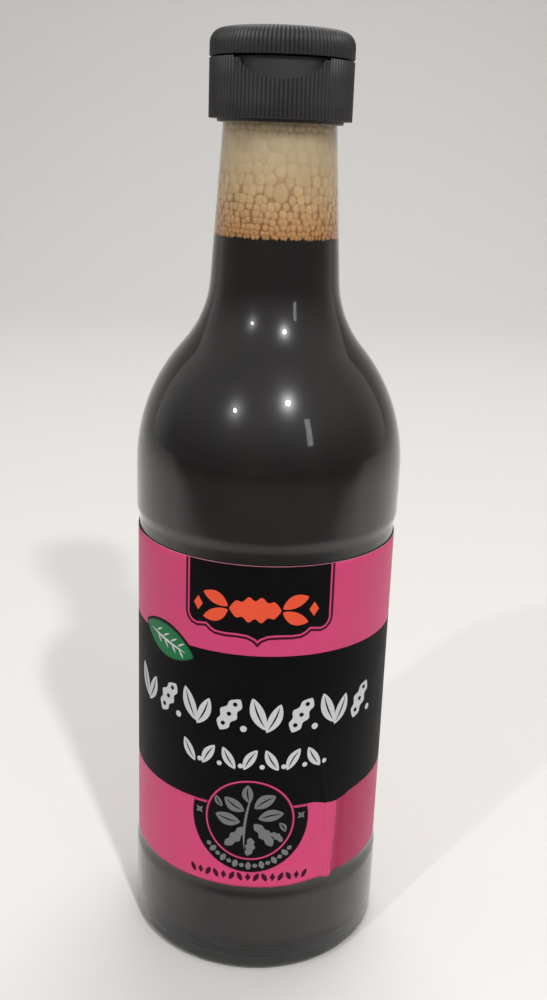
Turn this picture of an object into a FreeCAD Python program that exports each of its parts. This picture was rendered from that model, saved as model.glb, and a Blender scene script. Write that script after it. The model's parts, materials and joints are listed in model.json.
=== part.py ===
import FreeCAD, Part
import math
import os

# A 250 ml glass bottle of dark sauce with a paper wrap label and a black ribbed flip-top cap.
# Millimetres. +Z is up, the origin is the middle of the base on the surface it stands on,
# and the thumb notch of the cap faces -Y. Each height below is measured from the one before it.

# Glass body
body_radius = 27.3          # the two standing bands, above and below the label
panel_sink = 0.6            # the panel lies deeper than the bands, to protect the label
heel_radius = 2.0
foot_height = 17.5          # base to the start of the lower step
step_height = 3.0           # each step between a band and the panel
panel_height = 74.0
band_height = 8.8           # upper band, up to where the shoulder starts
shoulder_radius = 36.5      # convex arc
neck_sweep_radius = 21.5    # concave arc that turns the shoulder into the neck
neck_reach = 67.0           # start of the shoulder to the bottom of the cap
neck_radius = 10.9          # at the bottom of the cap
neck_taper = 3.7            # degrees, the neck narrows upwards
body_wall = 1.8             # at the panel
neck_wall = 1.8
base_wall = 3.0
punt_height = 3.0           # hollow under the base
punt_radius = 19.0
floor_corner_radius = 5.0

# Bead under the cap, which the cap snaps over
bead_height = 2.4
bead_depth = 0.7
bead_rise = 4.2             # middle of the bead above the bottom of the cap
lip_round = 0.7

# Contents
headspace = 21.0            # bottom of the cap down to the sauce
foam_height = 22.7          # froth standing on the sauce
content_gap = 0.1           # contents to glass

# Label
label_thickness = 0.25
label_glue = 0.05
label_rise = 0.6            # lower edge of the label above the lower step
label_drop = 1.9            # upper edge of the label below the upper step

# Cap
cap_wall = 2.5              # over the crests of the ribs
rib_count = 104
rib_depth = 0.3
cap_base_height = 10.65
skirt_drop = 0.6            # how far the inner skirt shows below the ribbed one
skirt_wall = 0.9
cap_clearance = 0.3         # cap to glass
deck_thickness = 1.6
seam_gap = 0.3              # between cap base and lid
lid_height = 5.55
lid_wall = 1.7
lid_top_wall = 1.4
lid_corner_radius = 2.7
lid_dome = 0.6

# Thumb notch under the lip of the lid, at the front
notch_half_width = 7.7
notch_height = 3.9
notch_depth = 1.3
lip_gap_width = 17.5        # the seam is wider here, so that a nail finds it
lip_gap_height = 0.4

# Pouring spout, and the ring in the lid that closes round it
spout_bore_radius = 3.2
spout_wall = 1.2
spout_height = 2.5
ring_clearance = 0.3
ring_wall = 0.9
ring_lift = 1.15            # free space between ring and deck

# Hinge at the back
hinge_offset = 0.2          # axis outside the ribs
knuckle_radius = 1.1
knuckle_clearance = 0.25
lid_knuckle_width = 4.0
base_knuckle_width = 2.0
knuckle_side_gap = 0.15
pin_radius = 0.45
pin_clearance = 0.07

# Heights and sizes that follow
panel_radius = body_radius - panel_sink
panel_bottom = foot_height + step_height
panel_top = panel_bottom + panel_height
band_bottom = panel_top + step_height
shoulder_start = band_bottom + band_height
cap_bottom = shoulder_start + neck_reach
cap_base_top = cap_bottom + cap_base_height
lid_bottom = cap_base_top + seam_gap
lid_top = lid_bottom + lid_height
deck_bottom = cap_base_top - deck_thickness
mouth_height = deck_bottom - cap_clearance
inner_radius = panel_radius - body_wall
inner_neck_radius = neck_radius - neck_wall
fill_height = cap_bottom - headspace
label_bottom = panel_bottom + label_rise
label_top = panel_top - label_drop
skirt_radius = neck_radius + cap_clearance + skirt_wall
cap_radius = neck_radius + cap_clearance + cap_wall
hinge_y = cap_radius + hinge_offset
hinge_z = cap_base_top + seam_gap / 2
spout_radius = spout_bore_radius + spout_wall


def point(r, z):
    return FreeCAD.Vector(r, 0, z)


def line(start, end):
    return Part.makeLine(point(*start), point(*end))


def arc(start, middle, end):
    return Part.Arc(point(*start), point(*middle), point(*end)).toShape()


def on_circle(centre, radius, angle):
    return centre[0] + radius * math.cos(angle), centre[1] + radius * math.sin(angle)


def arc_about(centre, radius, first, last):
    """Arc of a circle about centre, from angle first to angle last, in radians."""
    stops = [on_circle(centre, radius, a) for a in (first, (first + last) / 2, last)]
    return arc(*stops)


def revolve(edges):
    """Solid of revolution about Z of a closed outline in the XZ plane."""
    face = Part.Face(Part.Wire(edges))
    return face.revolve(FreeCAD.Vector(0, 0, 0), FreeCAD.Vector(0, 0, 1), 360)


def cylinder(radius, low, high):
    return Part.makeCylinder(radius, high - low, FreeCAD.Vector(0, 0, low))


def cross_cylinder(radius, low_x, high_x):
    """Cylinder along the hinge axis."""
    return Part.makeCylinder(radius, high_x - low_x, FreeCAD.Vector(low_x, hinge_y, hinge_z),
                             FreeCAD.Vector(1, 0, 0))


def crown(half_width, edge_z, rise):
    """Arc from the axis to half_width, standing rise above its edge: a punt or a dome."""
    radius = (half_width ** 2 + rise ** 2) / (2 * rise)
    middle = half_width / 2
    middle_z = edge_z + rise - radius + math.sqrt(radius ** 2 - middle ** 2)
    return arc((0, edge_z + rise), (middle, middle_z), (half_width, edge_z))


def ogee(start, end):
    """Two equal arcs that carry one upright wall into another."""
    run = end[1] - start[1]
    shift = end[0] - start[0]
    side = math.copysign(1, shift)
    radius = (run ** 2 + shift ** 2) / (4 * abs(shift))
    turn = math.acos(1 - abs(shift) / (2 * radius))
    sag = radius * (1 - math.cos(turn / 2))
    climb = radius * math.sin(turn / 2)
    centre = ((start[0] + end[0]) / 2, (start[1] + end[1]) / 2)
    first = arc(start, (start[0] + side * sag, start[1] + climb), centre)
    second = arc(centre, (end[0] - side * sag, end[1] - climb), end)
    return [first, second]


def shoulder(wall_radius, throat_radius, convex, concave):
    """Edges from the upright wall, over the shoulder and up the tapered neck to the cap."""
    taper = math.radians(neck_taper)
    outward = (math.cos(taper), math.sin(taper))
    downward = (math.sin(taper), -math.cos(taper))
    convex_centre = (wall_radius - convex, shoulder_start)
    sweep_line = (throat_radius + outward[0] * concave, cap_bottom + outward[1] * concave)
    across = (sweep_line[0] - convex_centre[0], sweep_line[1] - convex_centre[1])
    along = across[0] * downward[0] + across[1] * downward[1]
    reach = convex + concave
    square = along ** 2 - (across[0] ** 2 + across[1] ** 2 - reach ** 2)
    slide = -along - math.sqrt(square)
    concave_centre = (sweep_line[0] + downward[0] * slide, sweep_line[1] + downward[1] * slide)
    tilt = math.atan2(concave_centre[1] - convex_centre[1], concave_centre[0] - convex_centre[0])
    over = arc_about(convex_centre, convex, 0, tilt)
    sweep = arc_about(concave_centre, concave, tilt + math.pi, math.pi + taper)
    neck_start = on_circle(concave_centre, concave, math.pi + taper)
    return [over, sweep, line(neck_start, (throat_radius, cap_bottom))]


def glass_blank():
    """The bottle as a full solid, with its bands, its sunk panel and the bead under the cap."""
    heel_edge = body_radius - heel_radius
    bead_low = cap_bottom + bead_rise - bead_height / 2
    bead_high = bead_low + bead_height
    lip_edge = neck_radius - lip_round
    lip_low = mouth_height - lip_round
    edges = [crown(punt_radius, 0, punt_height),
             line((punt_radius, 0), (heel_edge, 0)),
             arc_about((heel_edge, heel_radius), heel_radius, -math.pi / 2, 0),
             line((body_radius, heel_radius), (body_radius, foot_height))]
    edges += ogee((body_radius, foot_height), (panel_radius, panel_bottom))
    edges += [line((panel_radius, panel_bottom), (panel_radius, panel_top))]
    edges += ogee((panel_radius, panel_top), (body_radius, band_bottom))
    edges += [line((body_radius, band_bottom), (body_radius, shoulder_start))]
    edges += shoulder(body_radius, neck_radius, shoulder_radius, neck_sweep_radius)
    edges += [line((neck_radius, cap_bottom), (neck_radius, bead_low)),
              arc((neck_radius, bead_low), (neck_radius + bead_depth, (bead_low + bead_high) / 2),
                  (neck_radius, bead_high)),
              line((neck_radius, bead_high), (neck_radius, lip_low)),
              arc_about((lip_edge, lip_low), lip_round, 0, math.pi / 2),
              line((lip_edge, mouth_height), (0, mouth_height)),
              line((0, mouth_height), (0, punt_height))]
    return revolve(edges)


def cavity(inset, top):
    """The inside of the bottle up to top, smaller by inset all round."""
    radius = inner_radius - inset
    throat = inner_neck_radius - inset
    floor = base_wall + inset
    corner_radius = floor_corner_radius - inset
    convex = shoulder_radius - (body_radius - inner_radius) - inset
    concave = neck_sweep_radius + neck_wall + inset
    corner_edge = radius - corner_radius
    corner_top = floor + corner_radius
    edges = [crown(corner_edge, floor, punt_height),
             arc_about((corner_edge, corner_top), corner_radius, -math.pi / 2, 0),
             line((radius, corner_top), (radius, shoulder_start))]
    edges += shoulder(radius, throat, convex, concave)
    roof = mouth_height + 1
    edges += [line((throat, cap_bottom), (throat, roof)), line((throat, roof), (0, roof)),
              line((0, roof), (0, floor + punt_height))]
    inside = revolve(edges)
    return inside.common(cylinder(body_radius, 0, top))


def bottle_glass():
    return glass_blank().cut(cavity(0, mouth_height + 1))


def soy_sauce():
    return cavity(content_gap, fill_height)


def foam():
    column = cavity(content_gap, fill_height + foam_height)
    return column.common(cylinder(body_radius, fill_height, mouth_height))


def label():
    inside = panel_radius + label_glue
    sleeve = cylinder(inside + label_thickness, label_bottom, label_top)
    return sleeve.cut(cylinder(inside, label_bottom - 1, label_top + 1))


def ribbed_column(low, high):
    """Upright column with rib_count V ribs, cap_radius over their crests."""
    corners = []
    for step in range(2 * rib_count):
        radius = cap_radius - rib_depth * (step % 2)
        angle = math.pi * step / rib_count
        corners.append(FreeCAD.Vector(radius * math.cos(angle), radius * math.sin(angle), low))
    outline = Part.makePolygon(corners + corners[:1])
    return Part.Face(outline).extrude(FreeCAD.Vector(0, 0, high - low))


def thumb_notch():
    """Half-round hollow with a smooth floor, and the wider seam above it."""
    front = -cap_radius - 1
    reach = cap_radius / 2
    oval = Part.Ellipse(FreeCAD.Vector(0, 0, 0), notch_half_width, notch_height)
    face = Part.Face(Part.Wire([oval.toShape()]))
    face.rotate(FreeCAD.Vector(0, 0, 0), FreeCAD.Vector(1, 0, 0), 90)
    face.translate(FreeCAD.Vector(0, front, cap_base_top))
    scoop = face.extrude(FreeCAD.Vector(0, reach, 0))
    gap = Part.makeBox(lip_gap_width, reach, 2 * lip_gap_height,
                       FreeCAD.Vector(-lip_gap_width / 2, front, cap_base_top - lip_gap_height))
    floor = cylinder(cap_radius - notch_depth, cap_bottom, lid_top)
    return scoop.fuse(gap).cut(floor)


def snap_room():
    """The room inside the cap base for the neck and its bead."""
    radius = neck_radius + cap_clearance
    low = cap_bottom - skirt_drop - 1
    middle = cap_bottom + bead_rise
    half = bead_height / 2 + cap_clearance
    edges = [line((0, low), (radius, low)),
             line((radius, low), (radius, middle - half)),
             arc((radius, middle - half), (radius + bead_depth, middle), (radius, middle + half)),
             line((radius, middle + half), (radius, deck_bottom)),
             line((radius, deck_bottom), (0, deck_bottom)),
             line((0, deck_bottom), (0, low))]
    return revolve(edges)


def base_knuckles(radius, extra):
    """The two outer knuckles, or the room for them when extra is the side gap."""
    start = lid_knuckle_width / 2 + knuckle_side_gap
    end = start + base_knuckle_width
    right = cross_cylinder(radius, start - extra, end + extra)
    left = cross_cylinder(radius, -end - extra, -start + extra)
    return right, left


def cap_base():
    body = ribbed_column(cap_bottom, cap_base_top)
    body = body.fuse(cylinder(skirt_radius, cap_bottom - skirt_drop, deck_bottom))
    body = body.fuse(cylinder(spout_radius, deck_bottom, cap_base_top + spout_height))
    body = body.cut(snap_room())
    body = body.cut(cylinder(spout_bore_radius, deck_bottom - 1, lid_top))
    body = body.cut(thumb_notch())
    lid_room = lid_knuckle_width / 2 + knuckle_side_gap
    body = body.cut(cross_cylinder(knuckle_radius + knuckle_clearance, -lid_room, lid_room))
    right, left = base_knuckles(knuckle_radius, 0)
    pin = cross_cylinder(pin_radius, -lid_room - 1, lid_room + 1)
    return body.fuse([right, left, pin]).removeSplitter()


def lid_shell():
    """Ribbed lid with a domed top and a round upper edge, hollow below."""
    edge = cap_radius - lid_corner_radius
    edge_z = lid_top - lid_dome
    corner_low = edge_z - lid_corner_radius
    outside = revolve([crown(edge, edge_z, lid_dome),
                       arc_about((edge, corner_low), lid_corner_radius, math.pi / 2, 0),
                       line((cap_radius, corner_low), (cap_radius, lid_bottom)),
                       line((cap_radius, lid_bottom), (0, lid_bottom)),
                       line((0, lid_bottom), (0, lid_top))])
    hollow = cylinder(cap_radius - lid_wall, lid_bottom - 1, lid_top - lid_top_wall)
    return ribbed_column(lid_bottom, lid_top).common(outside).cut(hollow)


def cap_lid():
    body = lid_shell()
    ring_inside = spout_radius + ring_clearance
    ring_low = cap_base_top + ring_lift
    ring_high = lid_top - lid_top_wall / 2
    ring = cylinder(ring_inside + ring_wall, ring_low, ring_high)
    ring = ring.cut(cylinder(ring_inside, ring_low - 1, lid_top - lid_top_wall))
    body = body.fuse(ring)
    for room in base_knuckles(knuckle_radius + knuckle_clearance, knuckle_side_gap):
        body = body.cut(room)
    half = lid_knuckle_width / 2
    body = body.fuse(cross_cylinder(knuckle_radius, -half, half))
    return body.cut(cross_cylinder(pin_radius + pin_clearance, -half - 1, half + 1))


nodes = {"bottle_glass": bottle_glass, "soy_sauce": soy_sauce, "foam": foam, "label": label,
         "cap_base": cap_base, "cap_lid": cap_lid}

os.makedirs("parts", exist_ok=True)
for name, make in nodes.items():
    shape = make()
    box = shape.BoundBox
    print(name, "solids", len(shape.Solids), "valid", shape.isValid(),
          "volume_ml", round(shape.Volume / 1000, 3), "z", round(box.ZMin, 2), round(box.ZMax, 2))
    shape.exportStep("parts/" + name + ".step")
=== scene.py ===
# %% [markdown]
# # A glass bottle of soy sauce
# A dark sauce stands in a clear bottle with froth in its neck, a paper label round its body and
# a ribbed flip-top cap. The construction is already made at its real size, so this lesson only
# dresses it: each piece below is modelled round the construction and given its finish.
# Lengths are in metres. `MM` keeps the numbers in the millimetres that a maker would use.

# %% Load the construction
import bmesh
import bpy
import json
import math
import random
from mathutils import Matrix, Vector


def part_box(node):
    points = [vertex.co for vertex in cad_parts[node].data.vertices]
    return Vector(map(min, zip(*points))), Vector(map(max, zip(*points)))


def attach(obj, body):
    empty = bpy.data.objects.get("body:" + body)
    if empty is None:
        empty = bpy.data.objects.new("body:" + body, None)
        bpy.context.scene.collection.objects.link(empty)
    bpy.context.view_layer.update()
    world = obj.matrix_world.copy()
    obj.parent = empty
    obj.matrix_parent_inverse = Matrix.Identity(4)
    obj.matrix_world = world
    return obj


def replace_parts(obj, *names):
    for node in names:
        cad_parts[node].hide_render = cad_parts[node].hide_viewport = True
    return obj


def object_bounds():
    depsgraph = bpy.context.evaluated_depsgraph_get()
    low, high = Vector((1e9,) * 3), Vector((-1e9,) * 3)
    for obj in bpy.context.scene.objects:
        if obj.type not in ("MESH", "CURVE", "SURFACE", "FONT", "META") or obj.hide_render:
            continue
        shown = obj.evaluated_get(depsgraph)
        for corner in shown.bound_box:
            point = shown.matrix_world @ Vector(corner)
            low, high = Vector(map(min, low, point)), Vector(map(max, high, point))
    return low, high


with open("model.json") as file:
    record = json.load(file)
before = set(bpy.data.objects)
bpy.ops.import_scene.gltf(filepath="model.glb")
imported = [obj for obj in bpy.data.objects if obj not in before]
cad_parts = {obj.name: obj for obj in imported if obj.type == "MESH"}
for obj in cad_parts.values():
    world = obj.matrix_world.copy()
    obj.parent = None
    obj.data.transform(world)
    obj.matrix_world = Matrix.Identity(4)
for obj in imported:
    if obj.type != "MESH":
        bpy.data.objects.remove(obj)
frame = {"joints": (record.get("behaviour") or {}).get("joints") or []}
cad_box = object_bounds()
MM = 0.001
print("construction from", tuple(cad_box[0]), "to", tuple(cad_box[1]))

# %% [markdown]
# ## Helpers for paints and fades
# Every finish below is a Principled shader fed by a few noises that read Object coordinates, so
# these helpers take up what all of them repeat: one starts a paint, one adds a node with its
# settings and socket values, one mixes two colours, and `grained_paint` makes the clouded and
# grained surface that paper and plastic share.

# %% Paint helpers
def new_paint(name):
    """Material, its nodes, a joiner of sockets, its shader and the Object coordinates."""
    paint = bpy.data.materials.new(name)
    paint.use_nodes = True
    nodes = paint.node_tree.nodes
    place = nodes.new("ShaderNodeTexCoord").outputs["Object"]
    return paint, nodes, paint.node_tree.links.new, nodes["Principled BSDF"], place


def add_node(nodes, kind, values=(), **settings):
    """Node of a kind, with settings such as data_type and its socket values by name."""
    node = nodes.new("ShaderNode" + kind)
    for key, value in settings.items():
        setattr(node, key, value)
    for key, value in dict(values).items():
        node.inputs[key].default_value = value
    return node


def colour_mix(nodes, first, second):
    return add_node(nodes, "Mix", {"A": first, "B": second}, data_type="RGBA")


def grained_paint(name, tones, roughness, cloud_noise, grain_noise, bump_strength):
    """Material and shader: two tones and two roughnesses in clouds, under a fine grain."""
    paint, nodes, join, shader, place = new_paint(name)
    cloud = add_node(nodes, "TexNoise", {"Scale": cloud_noise[0], "Detail": cloud_noise[1]})
    grain = add_node(nodes, "TexNoise", {"Scale": grain_noise[0], "Detail": grain_noise[1]})
    tone = colour_mix(nodes, *tones)
    shine = add_node(nodes, "MapRange", {"To Min": roughness[0], "To Max": roughness[1]})
    bump = add_node(nodes, "Bump", {"Distance": 0.02 * MM, "Strength": bump_strength})
    join(place, cloud.inputs["Vector"])
    join(place, grain.inputs["Vector"])
    join(cloud.outputs["Fac"], tone.inputs["Factor"])
    join(cloud.outputs["Fac"], shine.inputs["Value"])
    join(grain.outputs["Fac"], bump.inputs["Height"])
    join(tone.outputs["Result"], shader.inputs["Base Color"])
    join(shine.outputs["Result"], shader.inputs["Roughness"])
    join(bump.outputs["Normal"], shader.inputs["Normal"])
    return paint, shader


def clamp(value):
    """Value kept between 0 and 1, for whatever fades."""
    return min(1.0, max(0.0, value))


print("paint helpers ready")

# %% [markdown]
# ## Where the viewer stands
# The bottle is seen from a little above the middle of its neck, from close by, so its label
# curves down in the middle and the cap is seen almost level. The distances are multiples of
# the label's radius. A camera can be aimed with a constraint, but three plain turns are kept
# here, because the view also leans by two degrees.

# %% Camera
label_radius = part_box("label")[1].x
stand_off = 8.40 * label_radius
eye_height = 6.27 * label_radius
look_down = math.radians(17.6)
look_aside = math.radians(0.33)
lean = math.radians(2.06)

camera_data = bpy.data.cameras.new("camera")
camera_data.sensor_width = 36
camera_data.lens = 40.6
camera_data.clip_start = 0.01
camera = bpy.data.objects.new("camera", camera_data)
bpy.context.scene.collection.objects.link(camera)
camera.matrix_world = (Matrix.Translation((0, -stand_off, eye_height))
                       @ Matrix.Rotation(-look_aside, 4, "Z")
                       @ Matrix.Rotation(math.pi / 2 - look_down, 4, "X")
                       @ Matrix.Rotation(lean, 4, "Z"))
bpy.context.scene.camera = camera
print("camera at", tuple(round(c, 3) for c in camera.location))

# %% [markdown]
# ## The room
# Black glass shows the room more than itself, so the room is planned like a piece. The wall
# behind is pale. The floor is pale where the bottle stands and dims towards the viewer, because
# that part is what the lower bottle mirrors. The floor is a sheet that curves up into the wall,
# so that no horizon line shows from in front. From behind, the dim part and the open front edge
# of the floor do show. The world is bright behind and dimmer in front and low down, so the
# glass darkens towards the label. One lamp in front and a smaller one beside it give the round
# lights on the shoulder, a dim strip gives the streak beside them, and a large soft one behind
# lights the wall. The lamps don't show through glass, where small ones only add noise.

# %% Floor
pool_far, pool_near = -0.20, -0.03
floor_paint, nodes, join, shader, place = new_paint("floor_paint")
split = add_node(nodes, "SeparateXYZ")
pool = add_node(nodes, "MapRange", {"From Min": pool_far, "From Max": pool_near},
                interpolation_type="SMOOTHSTEP")
tint = colour_mix(nodes, (0.16, 0.155, 0.15, 1), (0.74, 0.725, 0.705, 1))
join(place, split.inputs["Vector"])
join(split.outputs["Y"], pool.inputs["Value"])
join(pool.outputs["Result"], tint.inputs["Factor"])
join(tint.outputs["Result"], shader.inputs["Base Color"])
shader.inputs["Roughness"].default_value = 0.75

floor_front, floor_back, wall_bend, wall_height, floor_half = -1.6, 0.9, 0.5, 2.4, 2.0
bend_steps = 12
profile = [(floor_front, 0), (floor_back, 0)]
for step in range(1, bend_steps + 1):
    angle = math.pi / 2 * step / bend_steps
    profile.append((floor_back + wall_bend * math.sin(angle), wall_bend * (1 - math.cos(angle))))
profile.append((floor_back + wall_bend, wall_height))
bm = bmesh.new()
corners = [bm.verts.new((-floor_half, y, z)) for y, z in profile]
edges = [bm.edges.new(pair) for pair in zip(corners, corners[1:])]
swept = bmesh.ops.extrude_edge_only(bm, edges=edges)
bmesh.ops.translate(bm, vec=(2 * floor_half, 0, 0),
                    verts=[v for v in swept["geom"] if isinstance(v, bmesh.types.BMVert)])
bmesh.ops.recalc_face_normals(bm, faces=bm.faces)
floor_mesh = bpy.data.meshes.new("floor")
bm.to_mesh(floor_mesh)
bm.free()
floor_mesh.shade_smooth()
floor_mesh.materials.append(floor_paint)
floor = bpy.data.objects.new("floor", floor_mesh)
bpy.context.scene.collection.objects.link(floor)

# %% World and lamps
world = bpy.data.worlds.new("room")
world.use_nodes = True
bpy.context.scene.world = world
nodes, join = world.node_tree.nodes, world.node_tree.links.new
back_tint = (0.98, 0.965, 0.94, 1)
direction = add_node(nodes, "TexCoord")
split = add_node(nodes, "SeparateXYZ")
backward = add_node(nodes, "MapRange", {"From Min": 0.1, "From Max": 0.9})
upward = add_node(nodes, "MapRange", {"From Min": -0.05, "From Max": 0.60},
                  interpolation_type="SMOOTHSTEP")
front_tint = colour_mix(nodes, (0.22, 0.217, 0.214, 1), (0.56, 0.552, 0.545, 1))
tint = colour_mix(nodes, back_tint, back_tint)
join(direction.outputs["Generated"], split.inputs["Vector"])
join(split.outputs["Z"], upward.inputs["Value"])
join(upward.outputs["Result"], front_tint.inputs["Factor"])
join(front_tint.outputs["Result"], tint.inputs["A"])
join(split.outputs["Y"], backward.inputs["Value"])
join(backward.outputs["Result"], tint.inputs["Factor"])
join(tint.outputs["Result"], nodes["Background"].inputs["Color"])
nodes["Background"].inputs["Strength"].default_value = 0.85


def add_lamp(name, azimuth, elevation, distance, width, height, power, target_height):
    """Area lamp that shines at the bottle's axis. Azimuth 0 is in front of the bottle."""
    light = bpy.data.lights.new(name, "AREA")
    light.shape = "RECTANGLE" if width != height else "DISK"
    light.size = width
    light.size_y = height
    light.energy = power
    lamp = bpy.data.objects.new(name, light)
    bpy.context.scene.collection.objects.link(lamp)
    turn = math.radians(azimuth)
    rise = math.radians(elevation)
    way = Vector((math.sin(turn) * math.cos(rise), -math.cos(turn) * math.cos(rise),
                  math.sin(rise)))
    lamp.location = Vector((0, 0, target_height)) + way * distance
    lamp.rotation_mode = "QUATERNION"
    lamp.rotation_quaternion = way.to_track_quat("Z", "Y")
    lamp.visible_transmission = False
    return lamp


shoulder_height = 0.62 * cad_box[1].z
add_lamp("lamp_right", 19.5, 42, 0.9, 0.050, 0.050, 4.2, shoulder_height)
add_lamp("lamp_left", -36, 34, 0.9, 0.030, 0.030, 1.6, shoulder_height)
add_lamp("lamp_strip", 36, 22, 0.9, 0.075, 0.260, 0.20, shoulder_height)
add_lamp("lamp_behind", 165, 62, 1.3, 0.9, 0.9, 9.0, shoulder_height)

# %% [markdown]
# ## Turning a piece on the lathe
# Glass, sauce and cap are all round, so each starts as an outline of radius and height and is
# spun about the Z axis. Round stretches of the outline come from `arc`. After a full spin the
# ends are merged and the faces are turned outwards, while the shape is still one skin.

# %% Lathe helpers
def arc(centre, radius, first, last, count=10):
    """Points of a circle about centre, from angle first to last in degrees."""
    points = []
    for step in range(count + 1):
        angle = math.radians(first + (last - first) * step / count)
        points.append((centre[0] + radius * math.cos(angle),
                       centre[1] + radius * math.sin(angle)))
    return points


def new_piece(name, bm, sharp_above=35):
    """Object at the origin from a bmesh, smooth except across edges sharper than the angle."""
    mesh = bpy.data.meshes.new(name)
    bm.to_mesh(mesh)
    bm.free()
    mesh.shade_smooth()
    mesh.set_sharp_from_angle(angle=math.radians(sharp_above))
    piece = bpy.data.objects.new(name, mesh)
    bpy.context.scene.collection.objects.link(piece)
    return piece


def spun(outline, steps):
    """Bmesh of revolution about Z from (radius, height) points in millimetres."""
    bm = bmesh.new()
    corners = [bm.verts.new((radius * MM, 0, height * MM)) for radius, height in outline]
    edges = [bm.edges.new(pair) for pair in zip(corners, corners[1:])]
    bmesh.ops.spin(bm, geom=corners + edges, cent=(0, 0, 0), axis=(0, 0, 1),
                   angle=math.tau, steps=steps, use_merge=True)
    bmesh.ops.remove_doubles(bm, verts=bm.verts, dist=0.001 * MM)
    bmesh.ops.recalc_face_normals(bm, faces=bm.faces)
    return bm


def lathe(name, outline, steps=192):
    piece = new_piece(name, spun(outline, steps))
    print(name, "has", len(piece.data.polygons), "faces")
    return piece


# %% [markdown]
# ## The bottle's outline
# A sauce bottle is blown in a mould: two bands that stand out, a sunk panel between them that
# keeps the label from rubbing, and a shoulder that is one convex arc and one concave arc,
# tangent to each other and to the tapered neck. The tangent points are worked out here, so the
# inside of the glass and the sauce can follow the same curves with smaller sizes.

# %% Sizes of the glass, in millimetres
body_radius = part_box("bottle_glass")[1].x / MM
mouth_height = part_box("bottle_glass")[1].z / MM
fill_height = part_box("soy_sauce")[1].z / MM
cap_bottom = 173.3
shoulder_start = 106.3
panel_radius = 26.7
heel_radius = 2.0
foot_height = 17.5
panel_bottom = 20.5
panel_top = 94.5
band_bottom = 97.5
neck_radius = 10.9
neck_taper = math.radians(3.7)
shoulder_radius = 36.5
neck_sweep_radius = 21.5
body_wall = 1.8
neck_wall = 1.8
base_wall = 3.0
punt_height = 3.0
punt_radius = 19.0
print("glass", round(2 * body_radius, 1), "mm across and", round(mouth_height, 1), "mm high")


# %% Curves of the glass
def crown(half_width, edge_height, rise, count=10):
    """Shallow dome from the axis out to half_width."""
    radius = (half_width ** 2 + rise ** 2) / (2 * rise)
    top = math.degrees(math.asin(half_width / radius))
    return arc((0, edge_height + rise - radius), radius, 90, 90 - top, count)


def ogee(start, end, count=8):
    """S-shaped step between two upright walls."""
    points = []
    for step in range(count + 1):
        share = step / count
        blend = share * share * (3 - 2 * share)
        points.append((start[0] + (end[0] - start[0]) * blend,
                       start[1] + (end[1] - start[1]) * share))
    return points


def shoulder(wall_radius, throat_radius, convex, concave, count=24):
    """From the upright wall over the shoulder and up the neck to the bottom of the cap."""
    outward = Vector((math.cos(neck_taper), math.sin(neck_taper)))
    downward = Vector((math.sin(neck_taper), -math.cos(neck_taper)))
    convex_centre = Vector((wall_radius - convex, shoulder_start))
    sweep_line = Vector((throat_radius, cap_bottom)) + outward * concave
    across = sweep_line - convex_centre
    along = across.dot(downward)
    slide = -along - math.sqrt(along ** 2 - across.length_squared + (convex + concave) ** 2)
    concave_centre = sweep_line + downward * slide
    tilt = math.degrees(math.atan2(*reversed(concave_centre - convex_centre)))
    over = arc(convex_centre, convex, 0, tilt, count)
    sweep = arc(concave_centre, concave, 180 + tilt, 180 + math.degrees(neck_taper), count // 2)
    return over + sweep[1:] + [(throat_radius, cap_bottom)]


def inside_outline(grow=0.0):
    """Wall of the cavity from the middle of its floor to the bottom of the cap."""
    radius = panel_radius - body_wall + grow
    corner = 5.0 + grow
    floor_edge = base_wall - grow
    convex = shoulder_radius - (body_radius - radius)
    concave = neck_sweep_radius + neck_wall - grow
    outline = crown(radius - corner, floor_edge, punt_height)
    outline += arc((radius - corner, floor_edge + corner), corner, -90, 0)
    return outline + shoulder(radius, neck_radius - neck_wall + grow, convex, concave)


# %% [markdown]
# ## The glass
# The outline goes up the outside, over the lip and down the inside to the floor, so the spin
# gives one closed wall with real thickness. That matters for glass: light bends where it
# enters and again where it leaves, and the thick heel glows because of it.

# %% Glass bottle
lip_round = 0.7
bead_middle = cap_bottom + 4.2
outside = crown(punt_radius, 0, punt_height)
outside += arc((body_radius - heel_radius, heel_radius), heel_radius, -90, 0, 12)
outside += ogee((body_radius, foot_height), (panel_radius, panel_bottom))
outside += ogee((panel_radius, panel_top), (body_radius, band_bottom))
outside += shoulder(body_radius, neck_radius, shoulder_radius, neck_sweep_radius)
outside += arc((neck_radius - 0.68, bead_middle), 1.38, -60, 60, 8)
outside += arc((neck_radius - lip_round, mouth_height - lip_round), lip_round, 0, 90, 4)
inner_mouth = [(neck_radius - neck_wall, mouth_height)]
bottle = lathe("bottle_clear_glass", outside + inner_mouth + inside_outline()[::-1], 256)
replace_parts(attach(bottle, "bottle"), "bottle_glass")

# %% [markdown]
# ## The sauce
# Sauce wets the glass, so no film of air may show between them. The fill is made from the same
# cavity curve, grown by a hair so that it reaches just into the wall. Its rim climbs a little
# where it meets the glass and is uneven under the froth.

# %% Sauce
overlap = 0.05
wall = [p for p in inside_outline(overlap) if p[1] < fill_height - 2]
wet_radius = neck_radius - neck_wall + overlap + (cap_bottom - fill_height) * math.tan(neck_taper)
surface = [(wet_radius, fill_height - 0.2), (wet_radius, fill_height),
           (wet_radius - 0.8, fill_height - 0.35), (wet_radius - 2.5, fill_height - 0.5),
           (0, fill_height - 0.5)]
bm = spun(wall + surface, 192)
for vert in bm.verts:
    if vert.co.z > (fill_height - 0.3) * MM and vert.co.xy.length > (wet_radius - 0.1) * MM:
        angle = math.atan2(vert.co.y, vert.co.x)
        vert.co.z += (0.16 * math.sin(9 * angle + 1) + 0.10 * math.sin(23 * angle)) * MM - 0.2 * MM
sauce = new_piece("sauce_fill", bm)
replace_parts(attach(sauce, "bottle"), "soy_sauce")
print("sauce up to", round(fill_height, 1), "mm")

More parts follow.
